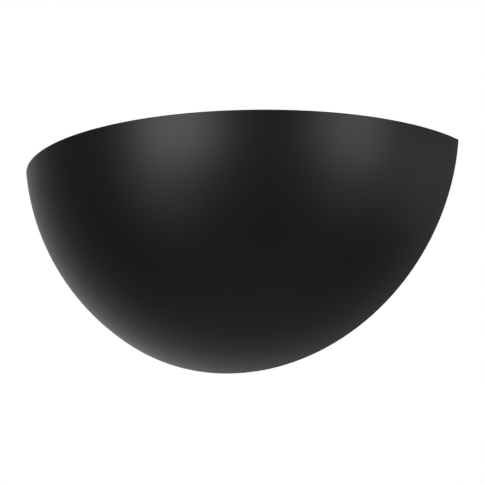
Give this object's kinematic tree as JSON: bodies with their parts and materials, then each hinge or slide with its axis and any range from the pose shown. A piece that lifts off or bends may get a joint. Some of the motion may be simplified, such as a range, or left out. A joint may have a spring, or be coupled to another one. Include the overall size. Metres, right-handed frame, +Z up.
{
  "type": "half bowl wall light",
  "caption": "Matte black metal half bowl uplighter that hooks onto a wall strap, with a screw-in lamp lying level inside the open top.",
  "frame": {"origin": "on the wall, midway between the two wall screw slots of the strap", "axes": "+X to the right along the wall as the viewer sees it, +Y into the wall, +Z up"},
  "size_m": [0.3, 0.1319, 0.135],
  "materials": {
    "bowl_coat": "matte black powder coat outside, satin white inside",
    "white_paint": "satin white powder coat",
    "zinc_plate": "bright zinc plate",
    "black_rubber": "moulded matte",
    "holder_plastic": "moulded satin white",
    "steatite": "unglazed cream",
    "nickel_plate": "nickel plated",
    "bare_brass": "bare brass",
    "black_glass": "glossy black insulator",
    "lamp_white": "moulded satin white",
    "opal": "frosted opal",
    "board_white": "white solder mask",
    "board_green": "green circuit board",
    "phosphor": "yellow phosphor",
    "block_plastic": "natural moulded plastic",
    "brown_lead": "brown insulation",
    "blue_lead": "blue insulation",
    "earth_lead": "green insulation with a yellow stripe"
  },
  "bodies": {
    "wall_bracket": {"wall_bracket": "zinc_plate"},
    "fixture": {"bowl_shell": "bowl_coat", "bowl_fixing_tabs": "white_paint", "back_plate": "white_paint", "plate_screws": "zinc_plate", "cable_grommet": "black_rubber", "lampholder_arm": "zinc_plate", "arm_screws": "zinc_plate", "arm_nuts": "zinc_plate", "lampholder_nipple": "bare_brass", "nipple_washer": "zinc_plate", "nipple_nut": "bare_brass", "lampholder_cap": "holder_plastic", "lampholder_core": "steatite", "lampholder_sleeve": "holder_plastic", "lampholder_screw_shell": "nickel_plate", "lampholder_contact": "bare_brass", "terminal_block": "block_plastic", "terminal_clamps": "bare_brass", "terminal_screws": "zinc_plate", "terminal_block_screws": "zinc_plate", "earth_screw": "bare_brass", "earth_nut": "bare_brass", "earth_washer": "bare_brass", "earth_lug": "nickel_plate", "earth_lead": "earth_lead", "live_lead": "brown_lead", "neutral_lead": "blue_lead"},
    "bulb_foot": {"bulb_contact": "nickel_plate", "bulb_insulator": "black_glass"},
    "bulb": {"bulb_cap": "nickel_plate", "bulb_housing": "lamp_white", "bulb_globe": "opal", "bulb_led_board": "board_white", "bulb_led_chips": "phosphor", "bulb_driver_board": "board_green"}
  },
  "joints": [
    {"name": "fixture_lift", "type": "slide", "parent": "wall_bracket", "child": "fixture", "axis": [0, 0, 1], "range_m": [0, 0.011]},
    {"name": "bulb_advance", "type": "slide", "parent": "fixture", "child": "bulb_foot", "axis": [1, 0, 0], "range_m": [0, 0.0146]},
    {"name": "bulb_turn", "type": "hinge", "parent": "bulb_foot", "child": "bulb", "pos_m": [0, -0.0522, 0.016], "axis": [1, 0, 0], "range_deg": [0, 1440]}
  ],
  "couplings": [
    {"joint": "bulb_advance", "follows": "bulb_turn", "m_per_rad": 0.00057757}
  ]
}
